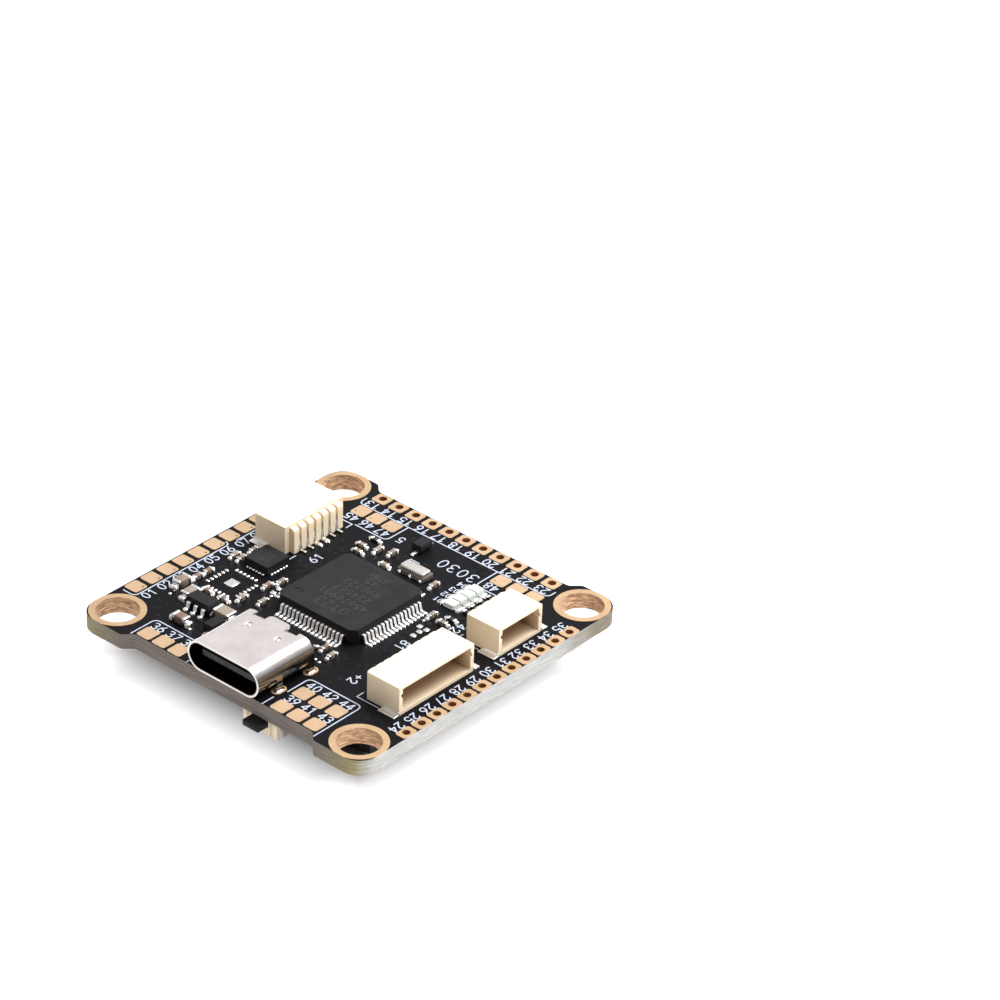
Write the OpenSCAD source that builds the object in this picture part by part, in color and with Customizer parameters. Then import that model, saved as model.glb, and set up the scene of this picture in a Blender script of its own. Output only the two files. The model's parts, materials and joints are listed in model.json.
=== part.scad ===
// Flight controller board for a small multirotor, as an assembly of its separate pieces.
// Origin: centre of the four mounting holes, on the underside of the laminate.
// +Z points up through the populated side, -Y towards the charging socket.

/* [Board] */
// Width and depth of the square laminate
board_w = 35.8; // [35.6:0.1:36.2]
// Thickness of the laminate
board_t = 1.6; // [1.2:0.2:2]
// Radius of the four corners
corner_r = 2.1; // [1.8:0.1:2.6]
// Depth of the shallow recess along the front and rear edges
recess_depth = 0.95; // [0.6:0.05:1.1]
// Half length of the front recess at its bottom
front_recess_half = 11.2; // [11:0.1:12.2]
// Half length of the rear recess at its bottom
rear_recess_half = 12.1; // [11.8:0.1:12.3]

/* [Mounting holes] */
// Distance between neighbouring mounting holes
hole_pitch = 30.5; // [30.4:0.1:30.6]
// Inner diameter of a plated mounting hole
hole_d = 4.2; // [3.6:0.1:4.3]
// Outer diameter of its ring on each face
ring_d = 5.45; // [5.1:0.05:5.5]

/* [Wire pads] */
// Pitch of the twelve holes along the right edge
right_pitch = 2.03; // [2:0.01:2.06]
// Pitch of the eleven holes along the rear edge
rear_pitch = 2.16; // [2.1:0.01:2.18]
// Pitch of the twelve flat pads along the left edge
left_pitch = 2.07; // [2.03:0.01:2.08]
// Diameter of a wire hole in the right edge
right_hole_d = 0.8; // [0.6:0.05:0.9]
// Diameter of a wire hole in the rear edge
rear_hole_d = 0.85; // [0.6:0.05:0.9]

/* [Processor] */
// Side of its square package
cpu_body = 10; // [9.8:0.1:10.2]
// Height of its top above the board
cpu_h = 1.5; // [1.2:0.1:1.6]
// Leads along each side
cpu_leads = 16; // [12:1:16]
// Pitch of the leads
cpu_pitch = 0.5; // [0.45:0.05:0.5]

/* [Charging socket] */
// Width of the metal shell
usb_w = 8.94; // [8.9:0.02:9]
// Height of the metal shell
usb_h = 3.16; // [3.1:0.02:3.26]
// Length of the metal shell
usb_len = 7.25; // [7.15:0.05:7.35]

/* [Plug-in connectors] */
// Pitch of the contacts
pin_pitch = 1; // [0.95:0.05:1]
// Height of each housing
housing_h = 2.95; // [2.8:0.05:3.1]
// Depth of each housing, mouth to rear ribs
housing_depth = 4.5; // [4.3:0.05:4.55]

/* [Boot switch] */
// Width of the switch housing
switch_w = 4.2; // [4.1:0.1:4.4]
// Height of the switch housing
switch_h = 1.7; // [1.6:0.1:1.8]
// Width of the plunger
plunger_w = 1.95; // [1.8:0.05:2]
// How far the plunger stands out of its housing
plunger_out = 1.25; // [1:0.05:1.3]
// Travel of the plunger
plunger_travel = 0.25; // [0.2:0.01:0.26]

/* [Underside] */
// Height of the tall parts that the board rests on
tall_h = 3; // [2.6:0.1:3.2]

/* [Hidden] */
$fn = 48;

// Colours
mask_black = [0.11, 0.11, 0.12];
gold = [0.87, 0.69, 0.47];
tin = [0.82, 0.82, 0.82];
nickel = [0.86, 0.84, 0.83];
mould_black = [0.17, 0.17, 0.18];
ivory = [0.95, 0.92, 0.84];
ceramic_tan = [0.66, 0.55, 0.43];
resistor_black = [0.1, 0.1, 0.11];

// Thin copper layers
plating_t = 0.05;
pad_t = 0.05;
pad_corner = 0.25;

// Places of the wire pads, seen from above
edge = board_w / 2;
right_row = [17.3, -0.175];
right_pad = [1.2, 1.75];
rear_row = [-0.075, 16.2];
rear_pad = [1.7, 1.5];
rear_pad_y = 16.1;
left_row = [-16.9, 0.085];
left_pad = [1.65, 1.6];
group_pad = [1.65, 1.65];
front_left_group = [[-10.4, -16.05], [-8.45, -16.05], [-6.45, -16.05]];
front_right_group = [for (x = [6.55, 8.55, 10.6], y = [-16.05, -13.25]) [x, y]];
rear_inner_group = [for (x = [-10.85, -8.85, -6.85, 7.05, 9.05, 11.05]) [x, 13.1]];

// Processor
cpu_at = [-0.37, 0.35];
cpu_standoff = 0.1;
cpu_reach = 1;
lead_w = 0.27;
lead_t = 0.13;

// Motion sensor and the empty footprint beside it
sensor_side = 3;
sensor_h = 0.9;
sensor_at = [-10.82, 0];
sensor_pitch = 0.4;
spare_side = 3.84;
spare_at = [-10.85, -4.67];
spare_pitch = 0.5;
quad_pins = 6;

// Charging socket
usb_at = [0.2, -17.1];
usb_wall = 0.28;
usb_leg_w = 0.7;
usb_leg_rows = [-14.35, -10.2];
usb_slot = [0.6, 1.3];
usb_land = [1.1, 1.6];
usb_block = 2.6;
usb_tail = [0.7, 1.1, 0.4];
// Rear of its top wall: half widths of the tab and of the notches, how far the tab and the
// insulator stand out behind the shell, and where the flaps in the notches begin to bend
usb_tab_half = 1.3;
usb_notch_half = 2.65;
usb_tab_out = 0.4;
usb_block_out = 0.35;
usb_bend_at = 0.85;
usb_bend_r = 0.95;
tongue_w = 6.7;
tongue_t = 0.7;
tongue_back = 0.75;
usb_pins = 12;

// Connectors: place and direction of each mouth
eight_pin_at = [12.85, -4.9, 90];
four_pin_at = [13.03, 6.35, 90];
six_pin_at = [-12.43, 6.4, -90];
rib_depth = 0.6;
rib_w = 0.7;
contact_w = 0.26;
contact_t = 0.2;
tab_size = [0.8, 2, 0.2];

// Status lights
led_x = 6.55;
led_y = 6.68;
led_pitch = 1.12;
led_count = 4;
led_size = [1.7, 1, 0.5];
led_base_t = 0.2;

// Chip parts: length, width and height of each size, and width of an end cap
size_small = [1, 0.5, 0.5];
size_flat = [1, 0.5, 0.35];
size_large = [1.65, 0.95, 0.85];
size_wide = [2, 1.35, 0.9];
cap_small = 0.24;
cap_large = 0.34;

// Chip parts on the populated side: x, y and turn about the vertical
small_capacitors = [
    [-8.2, -6.05, 90], [-6.35, -5.2, 90], [-13.7, -4.95, 90], [-13.75, -6.3, 90], [-9.25, -7.35, 0],
    [-11.35, -7.35, 0], [-7.95, -2.9, 90], [-7.45, -1.55, 90], [3.1, -6.75, 90], [4.4, -7.3, 90],
    [6.5, 4, 90], [8.1, 3.75, 0], [-2.45, 7.3, 0], [3.2, 7.95, 90], [-4.75, 8.85, 90], [-6.4, 8.4, 0],
    [-5.9, 7.3, 0], [-13.2, 0.65, 90], [-13.85, -1.25, 90], [-13, -1.2, 90], [-3.4, 9.4, 90]
];
top_resistors = [
    for (i = [0:3]) [8.55, led_y + i * led_pitch, 0], [8.25, 4.8, 0], [2.3, -7.6, 90], [-6.2, 10.1, 0]
];
large_capacitors = [[-14.03, -8.1, 90], [-12.1, -8.95, 90], [-9.6, -12.6, 0]];
wide_capacitors = [[-7.25, -9.3, 0]];
bare_pads = [[7.15, 2.1, 0], [7.3, 1, 90], [-6.95, -2.75, 90]];

// Small packages on the populated side
regulator_at = [-9.85, -9.5];
regulator_size = [2.9, 1.6, 1.1];
crystal_at = [0.45, 8.4];
crystal_size = [3.2, 1.5, 0.5];
crystal_lid_size = [2.9, 1.2, 0.35];
diodes = [[-6.55, -11.4, 90], [-2.05, 12.1, 90]];
diode_size = [1.7, 1.25, 0.9];

// Boot switch, under the board at the front edge
switch_at = [4.58, -16.85];
switch_wall = 0.35;
plunger_top = 0.15;
plunger_h = 0.6;
flange_w = 2.8;
flange_h = 0.75;
flange_t = 0.3;
slide_gap = 0.04;
stop_gap = 0.025;
dome_t = 0.06;
dome_rise = 0.35;
cover_t = 0.12;
switch_depth = 2 * switch_wall + 2 * stop_gap + flange_t + plunger_travel + dome_rise;

// Parts under the board: x and y of each
inductors = [[-9.4, -9.2], [9.6, 8.6]];
inductor_side = 5;
bulk_capacitors = [[-9.4, 9.2], [9.4, -9.2]];
bulk_size = [7.3, 4.3, tall_h];
display_at = [0, 3.4];
display_size = [9.7, 4.4, 1.1];
display_leads_a_side = 14;
display_pitch = 0.65;
memory_at = [0.6, -5.8];
memory_size = [6, 5, 0.75];
memory_pads_a_side = 4;
memory_pitch = 1.27;
converters = [[-9.4, -3.6], [9.6, 2.6]];
pressure_at = [-12.2, 2.2];
pressure_size = [2.5, 2, 0.3];
pressure_lid_size = [2.2, 1.7, 0.6];
under_large = [
    [-5.7, -9.4, 90], [-5.7, -6.4, 90], [5.4, 9.6, 90], [3.6, 9.6, 90], [13.6, 1.6, 90], [-13.4, -4, 90]
];
under_small = [
    for (i = [0:3]) [-5.6 + 1.6 * i, -0.6, 90], [-7, 3.6, 90], [7, 3.6, 90], [-12.2, 4.6, 0], [5.2, -3.6, 90]
];
under_resistors = [
    for (i = [0:3]) [-3.4 + 1.8 * i, 8.2, 0], [-6.8, -2.6, 0], [6.6, -0.4, 0], [12.9, -3.6, 0], [5.2, -5.8, 90]
];

// ---------------------------------------------------------------- shapes

// The rectangle's corner arcs, as points worked out from the radius
function soft_corners(w, l, r) = [
    for (q = [0:3], i = [0:3])
        let (a = 90 * q + 30 * i, sx = [1, -1, -1, 1][q], sy = [1, 1, -1, -1][q])
        [sx * (w / 2 - r) + r * cos(a), sy * (l / 2 - r) + r * sin(a)]
];

module block(size) {
    translate([0, 0, size[2] / 2]) cube(size, center = true);
}

module plate(size, t = pad_t, r = pad_corner) {
    linear_extrude(t) polygon(soft_corners(size[0], size[1], r));
}

module drill(r) {
    translate([0, 0, -1]) cylinder(h = board_t + 2, r = r);
}

module at_corners(d) {
    for (x = [-1, 1], y = [-1, 1]) translate([x * d, y * d, 0]) children();
}

module row(count, pitch, along) {
    for (i = [0:count - 1]) translate((i - (count - 1) / 2) * pitch * along) children();
}

module at_all(places) {
    for (p = places) translate([p[0], p[1], 0]) rotate(len(p) > 2 ? p[2] : 0) children();
}

module on_top() {
    translate([0, 0, board_t]) children();
}

module underneath() {
    mirror([0, 0, 1]) children();
}

module stadium(w, h) {
    square([w - h, h], center = true);
    for (x = [-1, 1]) translate([x * (w - h) / 2, 0]) circle(h / 2);
}

// ---------------------------------------------------------------- laminate

// One end of the recess: a concave and a convex arc joined by a 45 degree ramp
function ramp(half, r) = [
    for (a = [-90:15:-45])
        [half - r * tan(22.5) + r * cos(a), -recess_depth + r + r * sin(a)],
    for (a = [135:-15:90])
        [half + recess_depth + r * tan(22.5) + r * cos(a), -r + r * sin(a)]
];

module recess_cut(half) {
    for (side = [0, 1]) mirror([side, 0])
        polygon(concat([[0, -recess_depth]], ramp(half, 0.7), [[half + 2, 1], [0, 1]]));
}

module board_outline() {
    difference() {
        union() {
            square([board_w - 2 * corner_r, board_w], center = true);
            square([board_w, board_w - 2 * corner_r], center = true);
            at_corners(edge - corner_r) circle(corner_r);
        }
        translate([0, edge]) recess_cut(rear_recess_half);
        mirror([0, 1]) translate([0, edge]) recess_cut(front_recess_half);
    }
}

module usb_slots() {
    for (x = [-1, 1], y = usb_leg_rows)
        translate([usb_at[0] + x * (usb_w - usb_wall) / 2, y, 0]) rotate(90) children();
}

module laminate() {
    color(mask_black) difference() {
        linear_extrude(board_t) board_outline();
        at_corners(hole_pitch / 2) drill(hole_d / 2 + plating_t);
        translate(right_row) row(12, right_pitch, [0, 1]) drill(right_hole_d / 2);
        translate(rear_row) row(11, rear_pitch, [1, 0]) drill(rear_hole_d / 2);
        usb_slots() translate([0, 0, -1]) linear_extrude(board_t + 2)
            stadium(usb_slot[1] + 2 * plating_t, usb_slot[0] + 2 * plating_t);
    }
}

// ---------------------------------------------------------------- copper

module mounting_hole_plating() {
    color(gold) difference() {
        union() {
            at_corners(hole_pitch / 2) cylinder(h = board_t, r = hole_d / 2 + plating_t);
            for (z = [-pad_t, board_t]) translate([0, 0, z]) linear_extrude(pad_t) intersection() {
                at_corners(hole_pitch / 2) circle(ring_d / 2);
                board_outline();
            }
        }
        at_corners(hole_pitch / 2) drill(hole_d / 2);
    }
}

// A pad on both faces around a hole; the pad is off centre by shift
module holed_pad(size, hole_r, shift = [0, 0]) {
    for (z = [-pad_t, board_t]) difference() {
        translate([shift[0], shift[1], z]) plate(size);
        drill(hole_r);
    }
}

module right_wire_pads() {
    color(gold) translate(right_row)
        row(12, right_pitch, [0, 1]) holed_pad(right_pad, right_hole_d / 2);
}

module rear_wire_pads() {
    color(gold) translate(rear_row) row(11, rear_pitch, [1, 0])
        holed_pad(rear_pad, rear_hole_d / 2, [0, rear_pad_y - rear_row[1]]);
}

module left_wire_pads() {
    color(gold) on_top() translate(left_row) row(12, left_pitch, [0, 1]) plate(left_pad);
}

module front_left_pads() {
    color(gold) on_top() at_all(front_left_group) plate(group_pad);
}

module front_right_pads() {
    color(gold) on_top() at_all(front_right_group) plate(group_pad);
}

module rear_inner_pads() {
    color(gold) on_top() at_all(rear_inner_group) plate(group_pad);
}

// The ring of pads under a square package with no leads
module quad_pads(side, pitch) {
    for (a = [0:90:270]) rotate(a) translate([side / 2, 0])
        row(quad_pins, pitch, [0, 1]) plate([0.4, 0.56 * pitch], pad_t, 0.1);
}

module spare_sensor_footprint() {
    color(tin) on_top() translate(spare_at) {
        quad_pads(spare_side, spare_pitch);
        plate([1.15, 1.15], pad_t, 0.1);
    }
}

module bare_part_pads() {
    color(tin) on_top() at_all(bare_pads)
        for (x = [-0.42, 0.42]) translate([x, 0, 0]) plate([0.5, 0.55], pad_t, 0.1);
}

module usb_slot_plating() {
    color(tin) usb_slots() difference() {
        union() {
            linear_extrude(board_t) stadium(usb_slot[1] + 2 * plating_t, usb_slot[0] + 2 * plating_t);
            for (z = [-pad_t, board_t]) translate([0, 0, z])
                linear_extrude(pad_t) stadium(usb_land[1], usb_land[0]);
        }
        translate([0, 0, -1]) linear_extrude(board_t + 2) stadium(usb_slot[1], usb_slot[0]);
    }
}

// ---------------------------------------------------------------- moulded packages and leads

// Side view of a moulded body: both halves taper away from the lead plane
function tapered_side(w, h, draft) = [
    [-w / 2 + draft, 0], [w / 2 - draft, 0], [w / 2, (h - lead_t) / 2], [w / 2, (h + lead_t) / 2],
    [w / 2 - draft, h], [-w / 2 + draft, h], [-w / 2, (h + lead_t) / 2], [-w / 2, (h - lead_t) / 2]
];

function chamfered(w, l, cut) = [
    for (s = [[1, 1], [-1, 1], [-1, -1], [1, -1]], first = [0, 1])
        let (x_end = (s[0] * s[1] > 0) == (first == 0))
        [s[0] * (w / 2 - (x_end ? 0 : cut)), s[1] * (l / 2 - (x_end ? cut : 0))]
];

module moulded_body(w, l, h, draft, cut) {
    intersection() {
        linear_extrude(h) polygon(chamfered(w, l, cut));
        translate([0, l, 0]) rotate([90, 0, 0]) linear_extrude(2 * l)
            polygon(tapered_side(w, h, draft));
        translate([-w, 0, 0]) rotate([90, 0, 90]) linear_extrude(2 * w)
            polygon(tapered_side(l, h, draft));
    }
}

// Side view of a gull-wing lead that leaves the body at height rise and ends reach away
function gull_wing(reach, rise, foot) = [
    [0, rise], [0.22 * reach, rise], [reach - foot, 0], [reach, 0], [reach, lead_t],
    [reach - foot + 0.7 * lead_t, lead_t], [0.22 * reach + 0.7 * lead_t, rise + lead_t], [0, rise + lead_t]
];

module lead(w, reach, rise, foot) {
    translate([0, w / 2, 0]) rotate([90, 0, 0]) linear_extrude(w) polygon(gull_wing(reach, rise, foot));
}

// Two facing rows of leads on a package whose long side lies along X
module lead_rows(body_l, count, pitch, w, reach, rise, foot) {
    for (a = [0, 180]) rotate(a) translate([0, body_l / 2, 0])
        row(count, pitch, [1, 0]) rotate(90) lead(w, reach, rise, foot);
}

module processor_package() {
    color(mould_black) on_top() translate([cpu_at[0], cpu_at[1], cpu_standoff]) difference() {
        moulded_body(cpu_body, cpu_body, cpu_h - cpu_standoff, 0.12, 0.75);
        translate([-3.75, -3.55, cpu_h - cpu_standoff - 0.08]) cylinder(h = 1, r = 0.7);
    }
}

module processor_leads() {
    rise = (cpu_h + cpu_standoff - lead_t) / 2;
    color(tin) on_top() translate(cpu_at)
        for (a = [0, 90]) rotate(a)
            lead_rows(cpu_body, cpu_leads, cpu_pitch, lead_w, cpu_reach, rise, 0.6);
}

module motion_sensor_package() {
    color(mould_black) on_top() translate([sensor_at[0], sensor_at[1], pad_t]) difference() {
        block([sensor_side, sensor_side, sensor_h - pad_t]);
        translate([-1.05, 1.05, sensor_h - pad_t - 0.05]) cylinder(h = 1, r = 0.18);
    }
}

module motion_sensor_pads() {
    color(tin) on_top() translate(sensor_at) quad_pads(sensor_side, sensor_pitch);
}

module regulator_package() {
    color(mould_black) on_top() translate([regulator_at[0], regulator_at[1], cpu_standoff])
        moulded_body(regulator_size[0], regulator_size[1], regulator_size[2] - cpu_standoff, 0.1, 0.02);
}

module regulator_leads() {
    rise = (regulator_size[2] + cpu_standoff - lead_t) / 2;
    color(tin) on_top() translate(regulator_at)
        lead_rows(regulator_size[1], 3, 0.95, 0.4, 0.6, rise, 0.35);
}

// ---------------------------------------------------------------- charging socket

module usb_place() {
    on_top() translate([usb_at[0], usb_at[1], usb_h / 2]) rotate([-90, 0, 0]) children();
}

// A slot either side of the middle tab, through the rear of the top wall
module usb_notches() {
    w = usb_notch_half - usb_tab_half;
    for (x = [-1, 1])
        translate([x * (usb_tab_half + w / 2), -usb_h / 2, usb_len - usb_bend_at + 2])
            cube([w, 1, 4], center = true);
}

// A flap in each notch, bent down through a quarter turn behind the insulator's top
module usb_flaps() {
    w = usb_notch_half - usb_tab_half - 0.1;
    x0 = (usb_tab_half + usb_notch_half - w) / 2;
    for (x = [x0, -x0 - w]) translate([x, usb_bend_r - usb_h / 2, usb_len - usb_bend_at])
        rotate([0, 90, 0]) linear_extrude(w) polygon([
            for (a = [0:10:90]) usb_bend_r * [-sin(a), -cos(a)],
            for (a = [90:-10:0]) (usb_bend_r - usb_wall) * [-sin(a), -cos(a)],
            [0.3, usb_wall - usb_bend_r], [0.3, -usb_bend_r]
        ]);
}

module usb_shell() {
    inner_h = usb_h - 2 * usb_wall;
    color(nickel) {
        usb_place() {
            difference() {
                linear_extrude(usb_len) stadium(usb_w, usb_h);
                translate([0, 0, -1]) linear_extrude(usb_len + 2)
                    stadium(usb_w - 2 * usb_wall, inner_h);
                usb_notches();
                for (x = [-1.81, 1.81]) translate([x, -usb_h / 2 - 0.5, 5.2])
                    rotate([-90, 0, 0]) cylinder(h = 0.6, r = 0.35);
            }
            usb_flaps();
            translate([0, usb_wall - usb_h / 2, usb_len - 0.5 + usb_tab_out / 2]) rotate([90, 0, 0])
                linear_extrude(usb_wall) polygon(soft_corners(2 * usb_tab_half, 1 + usb_tab_out, 0.45));
        }
        for (x = [-1, 1], y = usb_leg_rows)
            translate([usb_at[0] + x * (usb_w - usb_wall) / 2, y, (board_t + usb_h / 2 + 0.3) / 2])
                cube([usb_wall, usb_leg_w, board_t + usb_h / 2 - 0.3], center = true);
    }
}

// Block at the rear of the shell, lower where the flaps come down, with the tongue in front
module usb_insulator() {
    inner_h = usb_h - 2 * usb_wall;
    low_h = usb_h - usb_wall - usb_bend_r - 0.1;
    high_len = usb_block - usb_bend_at - 0.05;
    color(mould_black) usb_place() {
        translate([0, 0, usb_len - usb_block]) linear_extrude(high_len)
            stadium(usb_w - 2 * usb_wall, inner_h);
        translate([0, 0, usb_len - usb_block]) linear_extrude(usb_block + usb_block_out) intersection() {
            stadium(usb_w - 2 * usb_wall, inner_h);
            translate([0, (inner_h - low_h) / 2]) square([usb_w, low_h], center = true);
        }
        translate([0, 0, tongue_back + (usb_len - usb_block - tongue_back) / 2])
            cube([tongue_w, tongue_t, usb_len - usb_block - tongue_back], center = true);
    }
}

// Strips on both faces of the tongue, and the soldered tails behind the insulator
module usb_contacts() {
    strip_len = usb_len - usb_block - tongue_back - 0.5;
    color(gold) {
        usb_place() for (side = [-1, 1])
            translate([0, side * (tongue_t / 2 + 0.025), usb_len - usb_block - strip_len / 2])
                row(usb_pins, 0.5, [1, 0, 0]) cube([0.27, 0.05, strip_len], center = true);
        on_top() translate([usb_at[0], usb_at[1] + usb_len + usb_block_out]) row(usb_pins, 0.5, [1, 0])
            rotate(90) lead(0.26, usb_tail[0], usb_tail[1], usb_tail[2]);
    }
}

// ---------------------------------------------------------------- plug-in connectors

function housing_w(pins) = (pins - 1) * pin_pitch + 3;

module connector_place(place) {
    on_top() translate([place[0], place[1], 0]) rotate(place[2]) children();
}

// The side view of a rear rib: its top corner is rounded off
function rib_side(h) = [
    [0, 0], [rib_depth, 0], [rib_depth, h - 0.4], [rib_depth - 0.1, h - 0.14],
    [rib_depth - 0.32, h], [0, h]
];

module housing(pins) {
    w = housing_w(pins);
    box_d = housing_depth - rib_depth;
    mouth_w = w - 0.9;
    floor_h = 0.35;
    roof = 0.25;
    mouth_d = 2.9;
    y0 = -housing_depth / 2;
    color(ivory) difference() {
        union() {
            translate([-w / 2, y0, 0]) cube([w, box_d, housing_h]);
            row(pins + 1, pin_pitch, [1, 0, 0])
                translate([-rib_w / 2, y0 + box_d, 0]) rotate([90, 0, 90])
                    linear_extrude(rib_w) polygon(rib_side(housing_h - 0.25));
        }
        translate([-mouth_w / 2, y0 - 1, floor_h]) cube([mouth_w, mouth_d + 1, housing_h - floor_h - roof]);
        for (x = [-1, 1]) translate([x * mouth_w / 2, y0 + 1.5, 1.95])
            cube([0.4, 4, 0.45], center = true);
        row(pins, pin_pitch, [1, 0, 0])
            translate([-contact_w / 2, y0 + 2, contact_z()]) cube([contact_w, housing_depth, contact_t]);
    }
}

function contact_z() = 1.35;

// Side view of one contact: blade in the mouth, bend behind the housing, foot on the board
module contact() {
    y0 = -housing_depth / 2;
    back = y0 + housing_depth - rib_depth;
    z = contact_z();
    translate([-contact_w / 2, 0, 0]) rotate([90, 0, 90]) linear_extrude(contact_w) polygon([
        [y0 + 1.7, z], [back + 0.25, z], [back + 0.5, contact_t], [back + 0.5, 0],
        [back + 1.35, 0], [back + 1.35, contact_t], [back + 0.75, contact_t],
        [back + 0.45, z + contact_t], [y0 + 1.7, z + contact_t]
    ]);
}

module contacts(pins) {
    color(tin) row(pins, pin_pitch, [1, 0, 0]) contact();
}

module tabs(pins) {
    color(tin) for (side = [0, 1]) mirror([side, 0, 0])
        translate([housing_w(pins) / 2, -housing_depth / 2 - 0.1, 0]) {
            cube(tab_size);
            cube([0.15, tab_size[1], 0.4]);
        }
}

module eight_pin_housing() {
    connector_place(eight_pin_at) housing(8);
}

module eight_pin_contacts() {
    connector_place(eight_pin_at) contacts(8);
}

module eight_pin_tabs() {
    connector_place(eight_pin_at) tabs(8);
}

module four_pin_housing() {
    connector_place(four_pin_at) housing(4);
}

module four_pin_contacts() {
    connector_place(four_pin_at) contacts(4);
}

module four_pin_tabs() {
    connector_place(four_pin_at) tabs(4);
}

module six_pin_housing() {
    connector_place(six_pin_at) housing(6);
}

module six_pin_contacts() {
    connector_place(six_pin_at) contacts(6);
}

module six_pin_tabs() {
    connector_place(six_pin_at) tabs(6);
}

// ---------------------------------------------------------------- chip parts

module chip_body(size, cap) {
    block([size[0] - 2 * cap, size[1] - 0.04, size[2] - 0.03]);
}

module chip_caps(size, cap) {
    for (x = [-1, 1]) translate([x * (size[0] - cap) / 2, 0, 0]) block([cap, size[1], size[2]]);
}

module small_capacitor_bodies() {
    color(ceramic_tan) {
        on_top() at_all(small_capacitors) chip_body(size_small, cap_small);
        underneath() at_all(under_small) chip_body(size_small, cap_small);
    }
}

module small_capacitor_terminals() {
    color(tin) {
        on_top() at_all(small_capacitors) chip_caps(size_small, cap_small);
        underneath() at_all(under_small) chip_caps(size_small, cap_small);
    }
}

module large_capacitor_bodies() {
    color(ceramic_tan) {
        on_top() at_all(large_capacitors) chip_body(size_large, cap_large);
        on_top() at_all(wide_capacitors) chip_body(size_wide, cap_large);
        underneath() at_all(under_large) chip_body(size_wide, cap_large);
    }
}

module large_capacitor_terminals() {
    color(tin) {
        on_top() at_all(large_capacitors) chip_caps(size_large, cap_large);
        on_top() at_all(wide_capacitors) chip_caps(size_wide, cap_large);
        underneath() at_all(under_large) chip_caps(size_wide, cap_large);
    }
}

module resistor_bodies() {
    color(resistor_black) {
        on_top() at_all(top_resistors) chip_body(size_flat, cap_small);
        underneath() at_all(under_resistors) chip_body(size_flat, cap_small);
    }
}

module resistor_terminals() {
    color(tin) {
        on_top() at_all(top_resistors) chip_caps(size_flat, cap_small);
        underneath() at_all(under_resistors) chip_caps(size_flat, cap_small);
    }
}

module diode_bodies() {
    color(mould_black) on_top() at_all(diodes) translate([0, 0, lead_t])
        moulded_body(diode_size[0], diode_size[1], diode_size[2] - lead_t, 0.08, 0.02);
}

module diode_terminals() {
    color(tin) on_top() at_all(diodes) for (x = [-1, 1])
        translate([x * (diode_size[0] / 2 + 0.05), 0, 0]) block([0.7, 0.35, lead_t]);
}

module at_lights() {
    on_top() translate([led_x, led_y + (led_count - 1) * led_pitch / 2]) row(led_count, led_pitch, [0, 1])
        children();
}

module status_led_bases() {
    color("white") at_lights() block([led_size[0] - 0.5, led_size[1], led_base_t]);
}

module status_led_lenses() {
    color([0.85, 0.95, 0.92]) at_lights() translate([0, 0, led_base_t])
        moulded_body(led_size[0] - 0.5, led_size[1], led_size[2] - led_base_t, 0.06, 0.02);
}

module status_led_terminals() {
    color(tin) at_lights() for (x = [-1, 1])
        translate([x * (led_size[0] - 0.25) / 2, 0, 0]) block([0.25, led_size[1], led_base_t]);
}

module crystal_base() {
    color([0.5, 0.47, 0.43]) on_top() translate(crystal_at) block(crystal_size);
}

module crystal_lid() {
    color(nickel) on_top() translate([crystal_at[0], crystal_at[1], crystal_size[2]])
        plate([crystal_lid_size[0], crystal_lid_size[1]], crystal_lid_size[2], 0.2);
}

// ---------------------------------------------------------------- boot switch

// Drawn with the mouth facing -Y and the board face at z = 0, then hung under the board
module switch_place() {
    underneath() translate([switch_at[0], switch_at[1], 0]) children();
}

module boot_switch_housing() {
    body_h = switch_h - cover_t;
    pocket_z = plunger_top + plunger_h / 2 - flange_h / 2 - slide_gap;
    color(ivory) switch_place() difference() {
        translate([-switch_w / 2, 0, 0]) cube([switch_w, switch_depth, body_h]);
        translate([-plunger_w / 2 - slide_gap, -1, plunger_top - slide_gap])
            cube([plunger_w + 2 * slide_gap, 2, plunger_h + 2 * slide_gap]);
        translate([-flange_w / 2 - slide_gap, switch_wall, pocket_z])
            cube([flange_w + 2 * slide_gap, switch_depth - 2 * switch_wall, flange_h + 2 * slide_gap]);
        for (x = [-1, 1]) translate([x * (plunger_w / 2 + 0.45), 0, body_h / 2])
            cube([0.3, 0.3, 3], center = true);
    }
}

module boot_switch_plunger() {
    color([0.12, 0.12, 0.13]) switch_place() {
        translate([-plunger_w / 2, -plunger_out, plunger_top])
            cube([plunger_w, plunger_out + switch_wall + stop_gap + flange_t, plunger_h]);
        translate([-flange_w / 2, switch_wall + stop_gap, plunger_top + (plunger_h - flange_h) / 2])
            cube([flange_w, flange_t, flange_h]);
    }
}

module boot_switch_cover() {
    color(tin) switch_place() translate([-switch_w / 2, 0.1, switch_h - cover_t]) {
        cube([switch_w, switch_depth - 0.1, cover_t]);
        for (x = [-cover_t, switch_w]) translate([x, 0.4, -0.8]) cube([cover_t, 0.7, 0.8 + cover_t]);
    }
}

// A shallow arched blade behind the plunger
module boot_switch_dome() {
    half = flange_w / 2 - 0.25;
    r = (half * half + dome_rise * dome_rise) / (2 * dome_rise);
    color(nickel) switch_place()
        translate([0, switch_depth - switch_wall, plunger_top + plunger_h / 2 - 0.3])
            linear_extrude(0.6) intersection() {
                translate([0, r - dome_rise]) difference() {
                    circle(r, $fn = 96);
                    circle(r - dome_t, $fn = 96);
                }
                translate([-half, -dome_rise - 0.01]) square([2 * half, dome_rise + 0.01]);
            }
}

module boot_switch_terminals() {
    color(tin) switch_place() for (x = [-1, 1])
        translate([x * (switch_w / 2 + 0.25), switch_depth - 0.35, 0]) block([0.5, 0.5, 0.14]);
}

// ---------------------------------------------------------------- under the board

module inductor_cores() {
    color([0.3, 0.3, 0.31]) underneath() at_all(inductors)
        translate([0, 0, 0.15]) linear_extrude(tall_h - 0.15)
            polygon(chamfered(inductor_side, inductor_side, 0.5));
}

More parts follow.
